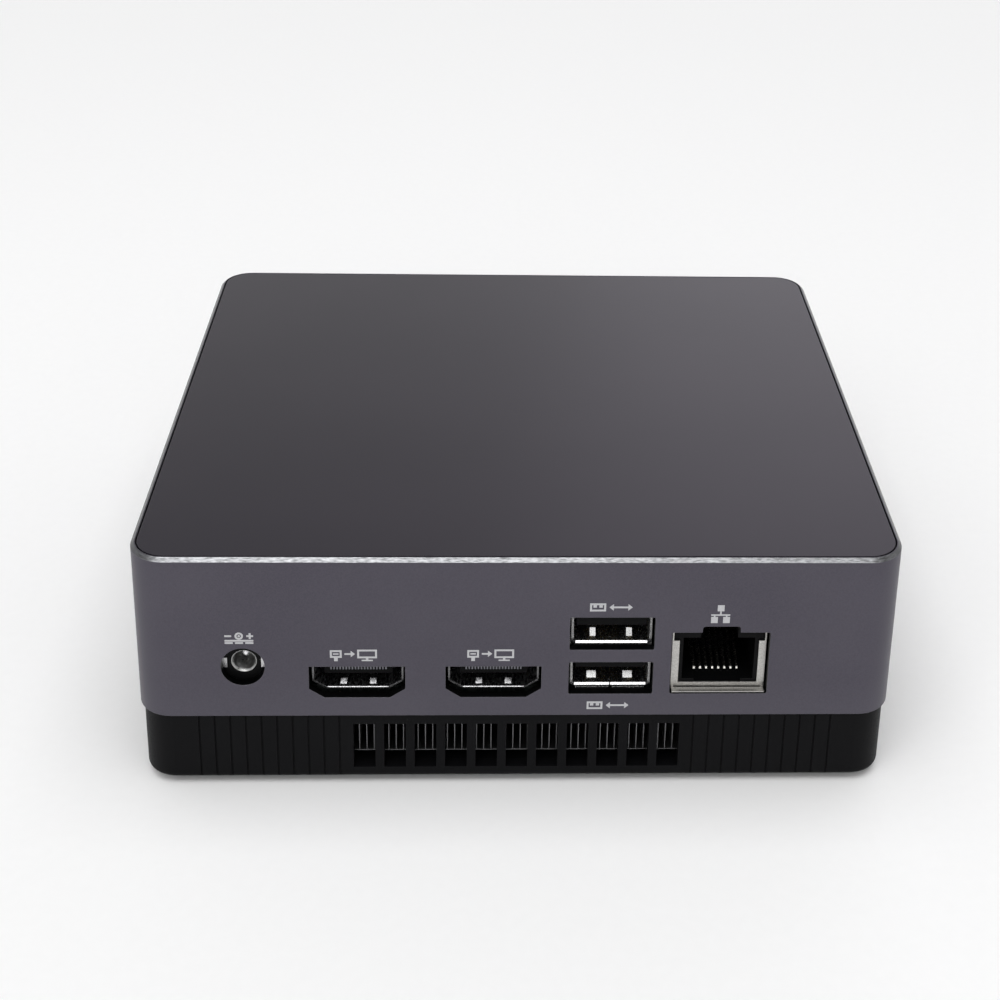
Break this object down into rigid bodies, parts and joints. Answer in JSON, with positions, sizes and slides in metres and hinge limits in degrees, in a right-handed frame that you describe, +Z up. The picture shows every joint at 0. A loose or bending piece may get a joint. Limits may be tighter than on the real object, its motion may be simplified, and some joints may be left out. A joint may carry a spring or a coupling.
{
  "type": "small desktop computer",
  "caption": "Low square desktop computer box: chamfered metal shell with an inset panel on a ribbed, vented black base, rear sockets, power button and blower cooling.",
  "frame": {"origin": "centre of the footprint, on the surface the feet rest on", "axes": "+X to the right seen from the front, +Y towards the rear face with the sockets, +Z up"},
  "size_m": [0.125, 0.112, 0.044],
  "materials": {
    "shell_metal": "bead-blasted grey anodised, bright cut chamfer",
    "panel": "satin dark grey",
    "adhesive": "foam tape",
    "base_plastic": "fine-textured black",
    "rubber": "soft matt",
    "screw_dark": "black zinc",
    "screw_bright": "zinc plated",
    "brass": "turned",
    "circuit_board": "solder mask over glass laminate",
    "chip_black": "moulded",
    "processor": "laminate with a bare die",
    "thermal_paste": "grey paste",
    "copper": "bare copper",
    "fin_aluminium": "bare sheet",
    "fan_plastic": "moulded",
    "magnet": "sintered",
    "winding": "enamelled wire",
    "steel": "plated sheet",
    "chrome_plated": "polished",
    "contact_gold": "thin gold plating",
    "socket_black": "moulded insulator",
    "socket_ivory": "moulded insulator",
    "wire_red": "insulated wire with an ivory plug",
    "cable_black": "thin coaxial jacket",
    "antenna_film": "amber film with a copper pattern",
    "light_ring": "milky light guide",
    "button_plastic": "satin dark grey"
  },
  "bodies": {
    "chassis": {"upper_shell": "shell_metal", "top_panel": "panel", "top_panel_adhesive": "adhesive", "base_tub": "base_plastic", "rubber_feet": "rubber", "case_screws": "screw_dark", "case_inserts": "brass", "bracket_inserts": "brass", "mainboard": "circuit_board", "board_screws": "screw_bright", "processor": "processor", "thermal_pad": "thermal_paste", "heatsink_plate": "copper", "heat_pipe": "copper", "fin_stack": "fin_aluminium", "heatsink_screws": "screw_bright", "heatsink_springs": "steel", "heatsink_backplate": "steel", "fan_housing": "fan_plastic", "fan_cover": "steel", "fan_standoffs": "brass", "small_screws": "screw_bright", "fan_bearing": "brass", "fan_stator": "winding", "fan_cable": "wire_red", "memory_socket": "socket_ivory", "memory_module": "circuit_board", "card_sockets": "socket_black", "ssd_module": "circuit_board", "card_standoffs": "brass", "radio_card": "circuit_board", "antennas": "antenna_film", "antenna_cables": "cable_black", "coin_cell": "chrome_plated", "power_inductors": "chip_black", "control_chips": "chip_black", "dc_jack_body": "socket_black", "dc_jack_barrel": "chrome_plated", "dc_jack_pin": "chrome_plated", "dc_jack_clip": "steel", "video_shells": "steel", "video_inserts": "socket_black", "video_contacts": "contact_gold", "rear_usb_shell": "steel", "rear_usb_insert": "socket_black", "usb_contacts": "contact_gold", "lan_shell": "steel", "lan_insert": "socket_black", "lan_contacts": "contact_gold", "front_usb_shells": "steel", "front_usb_inserts": "socket_black", "audio_jack": "socket_black", "power_light_ring": "light_ring", "switch_body": "steel", "switch_dome": "steel"},
    "button": {"power_button": "button_plastic"},
    "plunger": {"switch_plunger": "chip_black"},
    "fan": {"fan_rotor": "fan_plastic", "fan_magnet": "magnet", "fan_shaft": "steel"}
  },
  "joints": [
    {"name": "power_button_press", "type": "slide", "parent": "chassis", "child": "button", "axis": [0, 1, 0], "range_m": [0, 0.0005]},
    {"name": "switch_plunger_press", "type": "slide", "parent": "chassis", "child": "plunger", "axis": [0, 1, 0], "range_m": [0, 0.0005]},
    {"name": "fan_spin", "type": "hinge", "parent": "chassis", "child": "fan", "pos_m": [-0.004, 0.012, 0.007], "axis": [0, 0, 1], "continuous": true}
  ],
  "couplings": [
    {"joint": "switch_plunger_press", "follows": "power_button_press", "ratio": 1}
  ]
}
